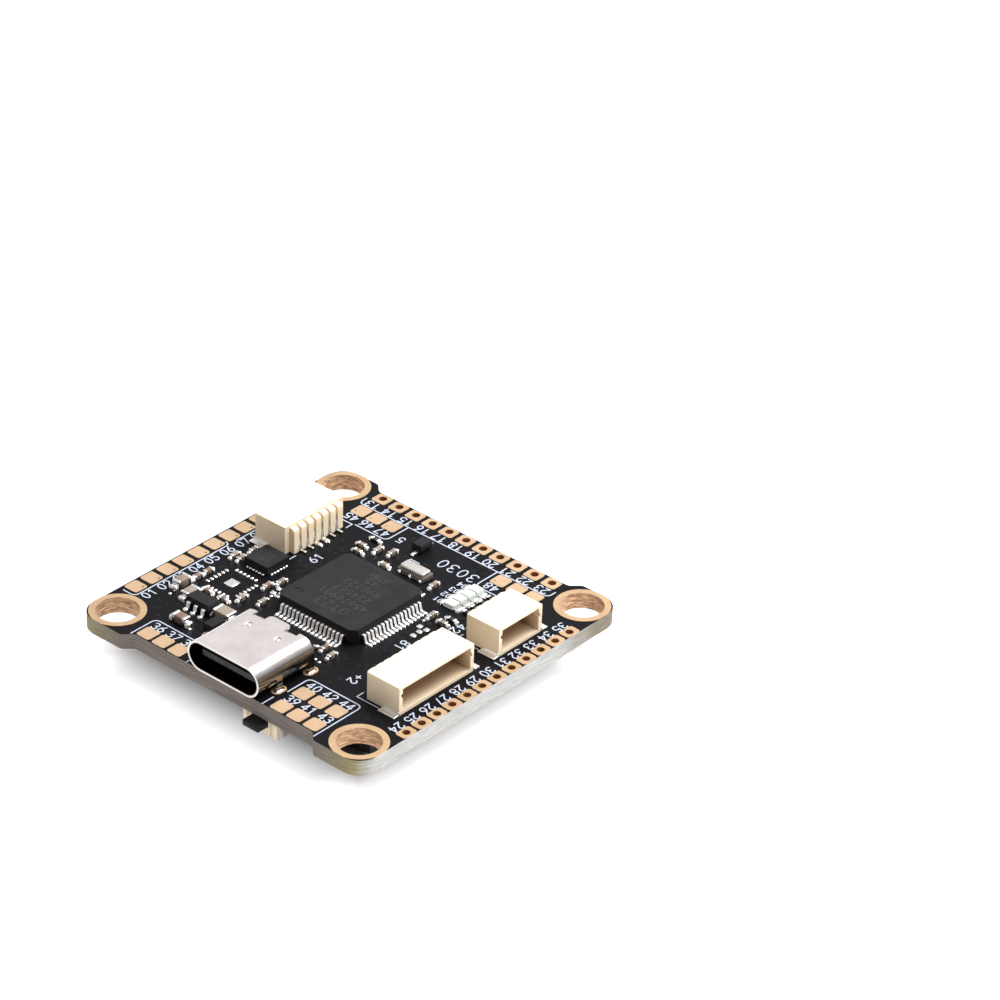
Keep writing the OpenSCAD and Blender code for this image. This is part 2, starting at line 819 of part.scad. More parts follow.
module inductor_terminals() {
    color(tin) underneath() at_all(inductors) for (x = [-1, 1])
        translate([x * (inductor_side / 2 - 0.5), 0, 0]) block([1.1, 2.6, 0.15]);
}

module bulk_capacitor_bodies() {
    color([0.2, 0.19, 0.18]) underneath() at_all(bulk_capacitors) translate([0, 0, 0.12])
        moulded_body(bulk_size[0], bulk_size[1], bulk_size[2] - 0.12, 0.12, 0.02);
}

module bulk_capacitor_terminals() {
    color(tin) underneath() at_all(bulk_capacitors) for (x = [-1, 1])
        translate([x * (bulk_size[0] / 2 - 0.5), 0, 0]) block([1.2, 2.4, 0.12]);
}

module display_chip_package() {
    color(mould_black) underneath() translate([display_at[0], display_at[1], cpu_standoff]) difference() {
        moulded_body(display_size[0], display_size[1], display_size[2] - cpu_standoff, 0.1, 0.02);
        translate([-4.2, -1.5, display_size[2] - cpu_standoff - 0.06]) cylinder(h = 1, r = 0.35);
    }
}

module display_chip_leads() {
    rise = (display_size[2] + cpu_standoff - lead_t) / 2;
    color(tin) underneath() translate(display_at)
        lead_rows(display_size[1], display_leads_a_side, display_pitch, 0.24, 1, rise, 0.55);
}

module memory_chip_package() {
    color(mould_black) underneath() translate([memory_at[0], memory_at[1], pad_t])
        block([memory_size[0], memory_size[1], memory_size[2] - pad_t]);
}

module memory_chip_pads() {
    color(tin) underneath() translate(memory_at) for (x = [-1, 1])
        translate([x * memory_size[0] / 2, 0]) row(memory_pads_a_side, memory_pitch, [0, 1])
            plate([0.7, 0.42], pad_t, 0.1);
}

module converter_packages() {
    color(mould_black) underneath() at_all(converters) translate([0, 0, cpu_standoff])
        moulded_body(regulator_size[0], regulator_size[1], regulator_size[2] - cpu_standoff, 0.1, 0.02);
}

module converter_leads() {
    rise = (regulator_size[2] + cpu_standoff - lead_t) / 2;
    color(tin) underneath() at_all(converters)
        lead_rows(regulator_size[1], 3, 0.95, 0.4, 0.6, rise, 0.35);
}

module pressure_sensor_base() {
    color(mask_black) underneath() translate(pressure_at) block(pressure_size);
}

module pressure_sensor_lid() {
    color(nickel) underneath() translate([pressure_at[0], pressure_at[1], pressure_size[2]]) difference() {
        plate([pressure_lid_size[0], pressure_lid_size[1]], pressure_lid_size[2], 0.2);
        translate([0.6, 0, pressure_lid_size[2] - 0.3]) cylinder(h = 1, r = 0.15);
    }
}

// ---------------------------------------------------------------- the assembly

laminate();
mounting_hole_plating();
right_wire_pads();
rear_wire_pads();
left_wire_pads();
front_left_pads();
front_right_pads();
rear_inner_pads();
spare_sensor_footprint();
bare_part_pads();
usb_slot_plating();
processor_package();
processor_leads();
motion_sensor_package();
motion_sensor_pads();
usb_shell();
usb_insulator();
usb_contacts();
eight_pin_housing();
eight_pin_contacts();
eight_pin_tabs();
four_pin_housing();
four_pin_contacts();
four_pin_tabs();
six_pin_housing();
six_pin_contacts();
six_pin_tabs();
crystal_base();
crystal_lid();
regulator_package();
regulator_leads();
status_led_bases();
status_led_lenses();
status_led_terminals();
resistor_bodies();
resistor_terminals();
small_capacitor_bodies();
small_capacitor_terminals();
large_capacitor_bodies();
large_capacitor_terminals();
diode_bodies();
diode_terminals();
boot_switch_housing();
boot_switch_plunger();
boot_switch_cover();
boot_switch_dome();
boot_switch_terminals();
inductor_cores();
inductor_terminals();
bulk_capacitor_bodies();
bulk_capacitor_terminals();
display_chip_package();
display_chip_leads();
memory_chip_package();
memory_chip_pads();
converter_packages();
converter_leads();
pressure_sensor_base();
pressure_sensor_lid();
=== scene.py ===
"""Looks of the flight controller board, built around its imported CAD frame.

Lengths here are millimetres in the row frame; they become metres where a mesh is made.
"""

import json
import math
import random

import bmesh
import bpy
from mathutils import Matrix, Vector
from mathutils.bvhtree import BVHTree


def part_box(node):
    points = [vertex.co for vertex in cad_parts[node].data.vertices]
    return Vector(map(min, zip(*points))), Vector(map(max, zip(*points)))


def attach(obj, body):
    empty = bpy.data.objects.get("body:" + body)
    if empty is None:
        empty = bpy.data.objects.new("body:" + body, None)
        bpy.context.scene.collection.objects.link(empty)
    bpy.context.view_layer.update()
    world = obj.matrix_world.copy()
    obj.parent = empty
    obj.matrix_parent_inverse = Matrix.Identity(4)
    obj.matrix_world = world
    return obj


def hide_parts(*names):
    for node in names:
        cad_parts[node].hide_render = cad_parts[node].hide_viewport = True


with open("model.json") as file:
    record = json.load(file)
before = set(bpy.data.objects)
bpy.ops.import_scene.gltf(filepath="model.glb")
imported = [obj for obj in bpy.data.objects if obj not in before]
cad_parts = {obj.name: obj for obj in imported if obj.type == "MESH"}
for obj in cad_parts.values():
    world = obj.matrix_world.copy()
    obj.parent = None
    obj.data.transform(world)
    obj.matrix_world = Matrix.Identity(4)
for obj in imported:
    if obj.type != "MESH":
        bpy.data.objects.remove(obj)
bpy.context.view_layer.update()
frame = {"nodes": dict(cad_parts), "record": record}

MM = 0.001
WELD = 2e-6  # metres: vertices of one CAD solid closer than this are the same


# ---------------------------------------------------------------- the frame, in millimetres

def box(node):
    low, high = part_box(node)
    return low / MM, high / MM


TOP = box("laminate")[1].z
HALF = box("laminate")[1].x
FLOOR = min(box(node)[0].z for node in frame["nodes"])


def islands(node):
    """The lowest and highest corner of each separate solid of a node, from left to right."""
    bm = bmesh.new()
    bm.from_mesh(frame["nodes"][node].data)
    bmesh.ops.remove_doubles(bm, verts=bm.verts, dist=WELD)
    left = set(bm.verts)
    found = []
    while left:
        queue = [left.pop()]
        group = []
        while queue:
            vertex = queue.pop()
            group.append(vertex.co / MM)
            near = {e.other_vert(vertex) for e in vertex.link_edges} & left
            queue += near
            left -= near
        low = Vector(min(p[k] for p in group) for k in range(3))
        high = Vector(max(p[k] for p in group) for k in range(3))
        found.append((low, high))
    bm.free()
    return sorted(found, key=lambda b: (round(b[0].x, 3), round(b[0].y, 3), b[0].z))


def middle(corners):
    return (corners[0] + corners[1]) / 2


def solid_tree():
    """Every CAD surface in one search tree."""
    vertices, faces = [], []
    for node in frame["nodes"].values():
        start = len(vertices)
        vertices += [v.co / MM for v in node.data.vertices]
        faces += [[start + i for i in p.vertices] for p in node.data.polygons]
    return BVHTree.FromPolygons(vertices, faces)


TREE = solid_tree()


def bare_board(x, y, reach):
    """Is the solder mask of the upper face bare around this place?"""
    ring = [(reach * math.cos(a), reach * math.sin(a)) for a in (k * math.pi / 4 for k in range(8))]
    for dx, dy in [(0, 0), *ring]:
        hit = TREE.ray_cast(Vector((x + dx, y + dy, 20)), Vector((0, 0, -1)))[0]
        if hit is None or abs(hit.z - TOP) > 0.01:
            return False
    return True


# ---------------------------------------------------------------- materials

class Surface:
    """A procedural material: a Principled shader whose textures lie in the row frame, in millimetres."""

    def __init__(self, name, **sockets):
        self.material = bpy.data.materials.new(name)
        self.material.use_nodes = True
        self.tree = self.material.node_tree
        self.tree.nodes.clear()
        self.shader = self.node("ShaderNodeBsdfPrincipled")
        for socket, value in sockets.items():
            self.shader.inputs[socket.replace("_", " ")].default_value = value
        output = self.node("ShaderNodeOutputMaterial")
        self.tree.links.new(self.shader.outputs[0], output.inputs["Surface"])
        scaled = self.node("ShaderNodeVectorMath", operation="SCALE")
        scaled.inputs["Scale"].default_value = 1 / MM
        coordinates = self.node("ShaderNodeTexCoord")
        self.tree.links.new(coordinates.outputs["Object"], scaled.inputs[0])
        self.place = scaled.outputs[0]
        self.height = None

    def node(self, kind, **settings):
        made = self.tree.nodes.new(kind)
        for setting, value in settings.items():
            setattr(made, setting, value)
        return made

    def feed(self, socket, value):
        if isinstance(value, bpy.types.NodeSocket):
            self.tree.links.new(value, socket)
        else:
            socket.default_value = value

    def math(self, operation, a, b=0.0):
        made = self.node("ShaderNodeMath", operation=operation)
        self.feed(made.inputs[0], a)
        self.feed(made.inputs[1], b)
        return made.outputs[0]

    def noise(self, scale, detail, stretch=(1, 1, 1)):
        """Cloudy values from 0 to 1, with scale features a millimetre, squeezed along stretch."""
        squeezed = self.node("ShaderNodeVectorMath", operation="MULTIPLY")
        squeezed.inputs[1].default_value = stretch
        self.feed(squeezed.inputs[0], self.place)
        made = self.node("ShaderNodeTexNoise")
        self.feed(made.inputs["Vector"], squeezed.outputs[0])
        self.feed(made.inputs["Scale"], scale)
        self.feed(made.inputs["Detail"], detail)
        self.feed(made.inputs["Roughness"], 0.55)
        return made.outputs["Fac"]

    def remap(self, value, low, high, start=0.3, end=0.7):
        """From low to high as value goes from start to end, and level outside."""
        made = self.node("ShaderNodeMapRange")
        for socket, number in zip(made.inputs[1:5], (start, end, low, high)):
            socket.default_value = number
        self.feed(made.inputs[0], value)
        return made.outputs[0]

    def mix(self, share, a, b):
        made = self.node("ShaderNodeMix", data_type="RGBA")
        self.feed(made.inputs["Factor"], share)
        for socket, value in ((made.inputs[6], a), (made.inputs[7], b)):
            self.feed(socket, value if isinstance(value, bpy.types.NodeSocket) else (*value, 1))
        return made.outputs[2]

    def tinted(self, dark, light, share):
        """The base colour, from dark to light by share."""
        self.feed(self.shader.inputs["Base Color"], self.mix(share, dark, light))
        return self

    def dull(self, value, low, high, start=0.3, end=0.7):
        """The roughness, from low to high as value goes from start to end."""
        self.feed(self.shader.inputs["Roughness"], self.remap(value, low, high, start, end))
        return self

    def bump(self, value, depth):
        """Relief of depth millimetres, on top of any relief so far."""
        made = self.node("ShaderNodeBump")
        self.feed(made.inputs["Distance"], depth * MM)
        self.feed(made.inputs["Height"], value)
        if self.height is not None:
            self.feed(made.inputs["Normal"], self.height)
        self.height = made.outputs[0]
        self.feed(self.shader.inputs["Normal"], self.height)
        return self

    def parts(self, vector):
        made = self.node("ShaderNodeSeparateXYZ")
        self.feed(made.inputs[0], vector)
        return made.outputs

    def facing(self):
        """The three parts of the surface's own direction in the row frame."""
        return self.parts(self.node("ShaderNodeNewGeometry").outputs["True Normal"])


def plain_grain(name, dark, light, roughness, grain=6.0, relief=0.004, **sockets):
    """A material with a fine even grain in its colour, gloss and relief."""
    s = Surface(name, **sockets)
    coarse, fine = s.noise(grain / 8, 4), s.noise(grain, 2)
    s.tinted(dark, light, s.remap(coarse, 0, 1))
    s.dull(fine, roughness - 0.06, roughness + 0.06)
    s.bump(fine, relief)
    return s.material


def board_material():
    """Black solder mask on both faces; cut edges brown, green at the corners, and painted pale on the
    right as a painted highlight, fading to tan towards the rear.
    """
    s = Surface("solder_mask_and_edge", Specular_IOR_Level=0.06)
    edge = s.math("LESS_THAN", s.math("ABSOLUTE", s.facing()[2]), 0.5)
    clouds, peel, fibres = s.noise(0.12, 3), s.noise(2.2, 2), s.noise(1.0, 5, (0.5, 0.5, 7))
    mask = s.mix(s.remap(clouds, 0, 1), (0.0035, 0.0035, 0.0045), (0.0055, 0.0055, 0.007))
    place = s.parts(s.place)
    near = [s.remap(s.math("ABSOLUTE", part), 0, 1, HALF - 5.7, HALF - 0.7) for part in place[:2]]
    corner = s.math("MULTIPLY", *near)
    share = s.remap(fibres, 0, 1)
    brown = s.mix(share, (0.15, 0.128, 0.11), (0.24, 0.215, 0.19))
    green = s.mix(share, (0.24, 0.205, 0.105), (0.36, 0.315, 0.18))
    # painted highlight: the right-hand edge is painted pale where the right lamp falls on it, fading to
    # tan towards the rear
    pale = s.mix(share, (0.32, 0.32, 0.31), (0.55, 0.55, 0.535))
    tan = s.mix(share, (0.16, 0.145, 0.105), (0.26, 0.235, 0.18))
    right = s.mix(s.remap(place[1], 0, 1, HALF - 9.4, HALF - 3.9), pale, tan)
    painted_highlight_share = s.remap(place[0], 0, 1, HALF - 0.9, HALF - 0.04)
    wall = s.mix(painted_highlight_share, s.mix(corner, brown, green), right)
    s.feed(s.shader.inputs["Base Color"], s.mix(edge, mask, wall))
    s.dull(s.math("ADD", edge, s.math("MULTIPLY", peel, 0.3)), 0.36, 0.7, 0, 1.2)
    s.bump(peel, 0.003)
    s.bump(s.math("MULTIPLY", edge, fibres), 0.03)
    return s.material


def gold_material(name, dark, light):
    """Matte immersion gold; the drilled walls are darker and scored all round."""
    s = Surface(name, Metallic=0.55)
    wall = s.math("LESS_THAN", s.math("ABSOLUTE", s.facing()[2]), 0.5)
    clouds, grain, score = s.noise(0.35, 3), s.noise(14, 2), s.noise(1.3, 4, (1, 1, 5))
    face = s.mix(s.remap(clouds, 0, 1), dark, light)
    barrel = s.mix(s.remap(score, 0, 1, 0.38, 0.62), (0.36, 0.21, 0.115), (0.8, 0.56, 0.36))
    s.feed(s.shader.inputs["Base Color"], s.mix(wall, face, barrel))
    s.dull(grain, 0.62, 0.72)
    s.bump(grain, 0.002)
    s.bump(s.math("MULTIPLY", wall, score), 0.1)
    return s.material


def solder_material():
    """Bright reflowed solder with a slightly crystallised skin."""
    s = Surface("reflowed_solder", Metallic=1.0)
    skin, grain = s.noise(3, 4), s.noise(11, 2)
    s.tinted((0.72, 0.71, 0.7), (0.93, 0.92, 0.91), s.remap(skin, 0, 1))
    s.dull(grain, 0.12, 0.26)
    s.bump(skin, 0.005)
    return s.material


def shell_material():
    """Drawn nickel-plated steel: faint draw lines; painted shade makes the rim greyer, a painted
    reflection makes it brown low on the sides, and painted shade makes it dark inside.
    """
    s = Surface("drawn_nickel", Metallic=1.0)
    drawn, spots = s.noise(2.6, 3, (1, 0.08, 1)), s.noise(0.55, 2)
    low, high = box("usb_shell")
    half, sheet = (high.z - TOP) / 2, 0.2
    x, _, z = s.parts(s.place)
    off_axis = s.math("ABSOLUTE", s.math("SUBTRACT", x, (low.x + high.x) / 2))
    wide = s.math("MAXIMUM", s.math("SUBTRACT", off_axis, (high.x - low.x) / 2 - half), 0.0)
    tall = s.math("SUBTRACT", z, TOP + half)
    square = s.math("ADD", s.math("MULTIPLY", wide, wide), s.math("MULTIPLY", tall, tall))
    # painted shade: the inner faces of the shell are painted near black
    inside = s.remap(s.math("POWER", square, 0.5), 1, 0, half - sheet - 0.04, half - sheet + 0.04)
    along = s.math("ABSOLUTE", s.facing()[1])
    skin = s.mix(s.remap(spots, 0.2, 1), (0.78, 0.73, 0.715), (0.9, 0.86, 0.85))
    # painted shade: faces that face front and back, the rim among them, are painted greyer
    skin = s.mix(s.remap(along, 0, 1, 0.75, 0.95), skin, (0.64, 0.61, 0.585))
    # painted reflection: the sides are painted brown low down, for the dark board that they reflect
    sides = s.math("MULTIPLY", s.remap(tall, 1, 0, 0.55, 1.25), s.remap(along, 1, 0, 0.3, 0.7))
    skin = s.mix(sides, skin, (0.28, 0.24, 0.205))
    s.feed(s.shader.inputs["Base Color"], s.mix(inside, skin, (0.035, 0.032, 0.03)))
    s.dull(drawn, 0.1, 0.17)
    s.bump(drawn, 0.0015)
    return s.material


MOUTH_MIDDLE = 1.525  # height of a connector's mouth above the board, at its middle
MOUTH_REACH = 1.2  # from there to its roof and floor
MOUTH_DEPTH = 3.2
MOUTH_WALL = 0.4


def ivory_material(name, mouth=None):
    """Ivory moulded plastic that lets a little light in; deep inside a mouth it's painted browner, as
    painted shade.

    A mouth is the housing's node and the side that it opens to, 1 for +X and -1 for -X.
    """
    s = Surface(name, Subsurface_Weight=0.2, Subsurface_Radius=(1.0, 0.7, 0.4),
                Subsurface_Scale=0.5 * MM, Specular_IOR_Level=0.4)
    clouds, grain = s.noise(0.4, 3), s.noise(9, 2)
    colour = s.mix(s.remap(clouds, 0, 1), (0.83, 0.685, 0.49), (0.89, 0.755, 0.565))
    if mouth:
        (low, high), side = box(mouth[0]), mouth[1]
        x, y, z = s.parts(s.place)
        depth = s.math("ABSOLUTE", s.math("SUBTRACT", x, (high if side > 0 else low).x))
        beside = s.math("ABSOLUTE", s.math("SUBTRACT", y, (low.y + high.y) / 2))
        above = s.math("ABSOLUTE", s.math("SUBTRACT", z, TOP + MOUTH_MIDDLE))
        # painted shade: the walls deep inside a mouth are painted brown
        share = s.math("MULTIPLY", s.math("LESS_THAN", beside, (high.y - low.y) / 2 - MOUTH_WALL),
                       s.math("LESS_THAN", above, MOUTH_REACH))
        share = s.math("MULTIPLY", share, s.math("LESS_THAN", depth, MOUTH_DEPTH))
        share = s.math("MULTIPLY", share, s.remap(depth, 0.15, 0.95, 0.05, 1.8))
        colour = s.mix(share, colour, (0.36, 0.22, 0.13))
    s.feed(s.shader.inputs["Base Color"], colour)
    s.dull(grain, 0.42, 0.56)
    s.bump(grain, 0.004)
    return s.material


def mould_material():
    """Black moulding compound: fine filler grain, dull on top."""
    s = Surface("moulding_compound", Specular_IOR_Level=0.12)
    clouds, filler = s.noise(0.5, 3), s.noise(17, 3)
    s.tinted((0.012, 0.012, 0.013), (0.018, 0.018, 0.0195), s.remap(clouds, 0, 1))
    s.dull(filler, 0.5, 0.66)
    s.bump(filler, 0.01)
    return s.material


def ceramic_material():
    """Fired ceramic; each small part has its own shade between pinkish tan, reddish and brown."""
    s = Surface("fired_ceramic", Specular_IOR_Level=0.5)
    island = s.node("ShaderNodeNewGeometry").outputs["Random Per Island"]
    ramp = s.node("ShaderNodeValToRGB")
    shades = [(0, (0.14, 0.065, 0.05)), (0.35, (0.2, 0.14, 0.105)),
              (0.65, (0.24, 0.2, 0.145)), (1, (0.29, 0.235, 0.19))]
    for place, _ in shades[1:-1]:
        ramp.color_ramp.elements.new(place)
    for element, (place, colour) in zip(ramp.color_ramp.elements, shades):
        element.position = place
        element.color = (*colour, 1)
    s.feed(ramp.inputs[0], island)
    grain = s.noise(12, 3)
    s.tinted(ramp.outputs[0], (0.12, 0.08, 0.06), s.remap(grain, 0, 0.35))
    s.dull(grain, 0.3, 0.45)
    s.bump(grain, 0.006)
    return s.material


def lens_material():
    """Milky cast resin with green tints."""
    s = Surface("cast_resin", IOR=1.5, Transmission_Weight=0.3)
    clouds = s.noise(2.5, 3)
    s.tinted((0.72, 0.86, 0.8), (0.95, 0.97, 0.96), s.remap(clouds, 0, 1))
    s.dull(clouds, 0.1, 0.3)
    s.bump(clouds, 0.03)
    return s.material


def floor_material():
    """A white table; its colour is painted dark under the board as a painted shadow, and its glow, a
    painted light, fades out under the board and is stronger on the right, lightening the shadow there.
    """
    s = Surface("lit_table", Specular_IOR_Level=0.1)
    s.dull(s.noise(0.5, 2), 0.75, 0.85)
    x, y, _ = s.parts(s.place)
    reach = s.math("MAXIMUM", s.math("ABSOLUTE", x), s.math("ABSOLUTE", y))
    # painted shadow: the table's colour darkens under the board
    s.tinted((0.035, 0.03, 0.028), (0.34, 0.34, 0.345), s.remap(reach, 0, 1, HALF - 7.1, HALF - 2.4))
    s.shader.inputs["Emission Color"].default_value = (0.985, 0.985, 1.0, 1)
    # painted light: the table glows, fading out under the board and stronger on the right
    around = s.remap(reach, 0.0, 0.9, HALF - 5.6, HALF + 0.6)
    right = s.remap(x, 0, 0.17, HALF - 3.7, HALF - 2.1)
    s.feed(s.shader.inputs["Emission Strength"], s.math("ADD", around, right))
    return s.material


BOARD = board_material()
GOLD = gold_material("immersion_gold", (0.415, 0.29, 0.18), (0.49, 0.35, 0.225))
RING_GOLD = gold_material("ring_gold", (0.385, 0.26, 0.15), (0.465, 0.325, 0.19))
SOLDER = solder_material()
NICKEL = shell_material()
IVORY = ivory_material("ivory_plastic")
EIGHT_PIN_IVORY = ivory_material("eight_pin_ivory", ("eight_pin_housing", 1))
FOUR_PIN_IVORY = ivory_material("four_pin_ivory", ("four_pin_housing", 1))
SIX_PIN_IVORY = ivory_material("six_pin_ivory", ("six_pin_housing", -1))
MOULD = mould_material()
CERAMIC = ceramic_material()
LENS = lens_material()
LEAD = plain_grain("tinned_leads", (0.84, 0.845, 0.86), (0.96, 0.96, 0.97), 0.3, Metallic=0.6)
CONTACT = plain_grain("contact_metal", (0.74, 0.73, 0.71), (0.9, 0.89, 0.87), 0.36, Metallic=1.0)
PIN = plain_grain("contact_pins", (0.36, 0.34, 0.32), (0.52, 0.5, 0.47), 0.3, Metallic=1.0)
LID = plain_grain("stamped_lid", (0.62, 0.58, 0.56), (0.74, 0.71, 0.69), 0.33, Metallic=1.0)
BLACK_PLASTIC = plain_grain("black_socket_plastic", (0.017, 0.016, 0.018), (0.03, 0.029, 0.032), 0.42,
                            Specular_IOR_Level=0.25)
PLUNGER = plain_grain("black_plunger_plastic", (0.007, 0.007, 0.0075), (0.013, 0.013, 0.014), 0.5,
                      relief=0.012, Specular_IOR_Level=0.15)
CERAMIC_BASE = plain_grain("crystal_ceramic", (0.07, 0.06, 0.05), (0.16, 0.135, 0.115), 0.55)
LED_WHITE = plain_grain("white_led_base", (0.78, 0.78, 0.74), (0.88, 0.88, 0.85), 0.45)
GLAZE = plain_grain("black_glaze", (0.01, 0.01, 0.011), (0.022, 0.022, 0.024), 0.25)
FERRITE = plain_grain("pressed_powder", (0.05, 0.05, 0.052), (0.11, 0.11, 0.115), 0.6, grain=12,
                      relief=0.02)
TANTALUM = plain_grain("moulded_case", (0.022, 0.02, 0.018), (0.04, 0.037, 0.034), 0.5)
SILK = plain_grain("white_ink", (0.37, 0.415, 0.5), (0.47, 0.515, 0.61), 0.6, grain=10)
LASER = plain_grain("laser_mark", (0.03, 0.03, 0.03), (0.05, 0.05, 0.05), 0.7, grain=14,
                    Specular_IOR_Level=0.1)
MASK_RELIEF = plain_grain("mask_over_copper", (0.006, 0.006, 0.0075), (0.009, 0.009, 0.011), 0.36,
                          relief=0.002, Specular_IOR_Level=0.08)
BORE_WALL = plain_grain("plated_bore", (0.25, 0.11, 0.04), (0.45, 0.22, 0.09), 0.5, Metallic=0.6)
# painted shade: dark dots that stand for the shade inside open vias
PAINTED_VIA_SHADE = plain_grain("painted_via_shade", (0.02, 0.012, 0.006), (0.05, 0.03, 0.015), 0.7)


# ---------------------------------------------------------------- making pieces

def set_up(piece, body="board"):
    bpy.context.scene.collection.objects.link(piece)
    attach(piece, body)
    return piece


def made_piece(name, bm, material, smooth=40):
    """The bmesh, in millimetres, as a piece of the board."""
    bmesh.ops.recalc_face_normals(bm, faces=bm.faces)
    mesh = bpy.data.meshes.new(name)
    bm.to_mesh(mesh)
    bm.free()
    mesh.transform(Matrix.Scale(MM, 4))
    mesh.materials.append(material)
    mesh.shade_smooth()
    mesh.set_sharp_from_angle(angle=math.radians(smooth))
    return set_up(bpy.data.objects.new(name, mesh))


def softened(node, radius, material, body="board"):
    """A copy of a CAD node with its sharp edges rounded off, which stands for that node."""
    source = frame["nodes"][node].data.copy()
    for layer in ("custom_normal", "sharp_face", "sharp_edge"):
        if layer in source.attributes:
            source.attributes.remove(source.attributes[layer])
    bm = bmesh.new()
    bm.from_mesh(source)
    bmesh.ops.remove_doubles(bm, verts=bm.verts, dist=WELD)
    bmesh.ops.dissolve_limit(bm, angle_limit=math.radians(0.5), verts=bm.verts, edges=bm.edges)
    bm.to_mesh(source)
    bm.free()
    source.materials.clear()
    source.materials.append(material)
    source.shade_smooth()
    piece = bpy.data.objects.new(node + "_finish", source)
    set_up(piece, body)
    rounding = piece.modifiers.new("rounding", "BEVEL")
    rounding.width = radius * MM
    rounding.segments = 2
    rounding.limit_method = "ANGLE"
    rounding.angle_limit = math.radians(35)
    even = piece.modifiers.new("even_normals", "WEIGHTED_NORMAL")
    even.keep_sharp = True
    final = piece.evaluated_get(bpy.context.evaluated_depsgraph_get())
    piece.data = bpy.data.meshes.new_from_object(final)
    piece.modifiers.clear()
    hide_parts(node)
    return piece


def repaint(node, material):
    for slot in frame["nodes"][node].material_slots:
        slot.material = material


def mound(bm, place, length, width, height, along="x", side=1):
    """A low rounded heap, such as a solder fillet, on the board's face."""
    around, levels = 14, [(1.0, 0.0), (0.93, 0.45), (0.72, 0.8), (0.4, 0.97)]
    half = (length / 2, width / 2) if along == "x" else (width / 2, length / 2)
    rings = []
    for reach, rise in levels:
        ring = []
        for k in range(around):
            a = 2 * math.pi * k / around
            c, s = math.cos(a), math.sin(a)
            x = place[0] + half[0] * reach * math.copysign(abs(c) ** 0.75, c)
            y = place[1] + half[1] * reach * math.copysign(abs(s) ** 0.75, s)
            ring.append(bm.verts.new((x, y, place[2] + side * height * rise)))
        rings.append(ring)
    for lower, upper in zip(rings, rings[1:]):
        for k in range(around):
            j = (k + 1) % around
            bm.faces.new((lower[k], lower[j], upper[j], upper[k]))
    bm.faces.new(rings[-1])
    bm.faces.new(rings[0][::-1])


# ---------------------------------------------------------------- rounded copies of the CAD nodes

FINISHES = [
    # node, edge radius, material, slot
    ("processor_package", 0.07, MOULD, "chip_mould"),
    ("processor_leads", 0.03, LEAD, "solder_tin"),
    ("motion_sensor_package", 0.03, MOULD, "chip_mould"),
    ("usb_shell", 0.07, NICKEL, "socket_shell"),
    ("usb_insulator", 0.08, BLACK_PLASTIC, "socket_plastic"),
    ("eight_pin_housing", 0.09, EIGHT_PIN_IVORY, "ivory_plastic"),
    ("four_pin_housing", 0.09, FOUR_PIN_IVORY, "ivory_plastic"),
    ("six_pin_housing", 0.09, SIX_PIN_IVORY, "ivory_plastic"),
    ("eight_pin_contacts", 0.03, PIN, "contact_metal"),
    ("four_pin_contacts", 0.03, PIN, "contact_metal"),
    ("six_pin_contacts", 0.03, PIN, "contact_metal"),
    ("eight_pin_tabs", 0.05, CONTACT, "contact_metal"),
    ("four_pin_tabs", 0.05, CONTACT, "contact_metal"),
    ("six_pin_tabs", 0.05, CONTACT, "contact_metal"),
    ("crystal_base", 0.05, CERAMIC_BASE, "crystal_ceramic"),
    ("crystal_lid", 0.1, LID, "can_lid"),
    ("regulator_package", 0.05, MOULD, "chip_mould"),
    ("regulator_leads", 0.03, LEAD, "solder_tin"),
    ("status_led_bases", 0.03, LED_WHITE, "led_white"),
    ("status_led_lenses", 0.06, LENS, "led_clear"),
    ("resistor_bodies", 0.03, GLAZE, "resistor_glaze"),
    ("resistor_terminals", 0.05, SOLDER, "solder_tin"),
    ("small_capacitor_bodies", 0.04, CERAMIC, "ceramic_tan"),
    ("small_capacitor_terminals", 0.06, SOLDER, "solder_tin"),
    ("large_capacitor_bodies", 0.06, CERAMIC, "ceramic_tan"),
    ("large_capacitor_terminals", 0.09, SOLDER, "solder_tin"),
    ("diode_bodies", 0.05, MOULD, "chip_mould"),
    ("diode_terminals", 0.03, LEAD, "solder_tin"),
    ("boot_switch_housing", 0.05, IVORY, "ivory_plastic"),
    ("boot_switch_cover", 0.03, LID, "can_lid"),
    ("inductor_cores", 0.15, FERRITE, "ferrite"),
    ("bulk_capacitor_bodies", 0.1, TANTALUM, "tantalum_mould"),
    ("display_chip_package", 0.05, MOULD, "chip_mould"),
    ("display_chip_leads", 0.03, LEAD, "solder_tin"),
    ("memory_chip_package", 0.04, MOULD, "chip_mould"),
    ("converter_packages", 0.05, MOULD, "chip_mould"),
    ("converter_leads", 0.03, LEAD, "solder_tin"),
    ("pressure_sensor_lid", 0.06, LID, "can_lid"),
]
for node, radius, material, slot in FINISHES:
    softened(node, radius, material)
softened("boot_switch_plunger", 0.06, PLUNGER, body="plunger")

REPAINTED = {
    "laminate": BOARD,
    "mounting_hole_plating": RING_GOLD, "right_wire_pads": RING_GOLD,
    "rear_wire_pads": GOLD, "left_wire_pads": GOLD, "front_left_pads": GOLD, "front_right_pads": GOLD,
    "rear_inner_pads": GOLD, "usb_contacts": GOLD, "usb_slot_plating": GOLD,
    "spare_sensor_footprint": SOLDER, "bare_part_pads": SOLDER, "motion_sensor_pads": SOLDER,
    "status_led_terminals": SOLDER, "memory_chip_pads": SOLDER,
    "boot_switch_terminals": LEAD, "inductor_terminals": LEAD, "bulk_capacitor_terminals": LEAD,
    "boot_switch_dome": LID, "pressure_sensor_base": BLACK_PLASTIC,
}
for node, material in REPAINTED.items():
    repaint(node, material)


# ---------------------------------------------------------------- solder

def face_of(corners):
    """Which face of the board a solid stands on: its side and its height."""
    return (1, TOP) if middle(corners).z > 0 else (-1, 0.0)


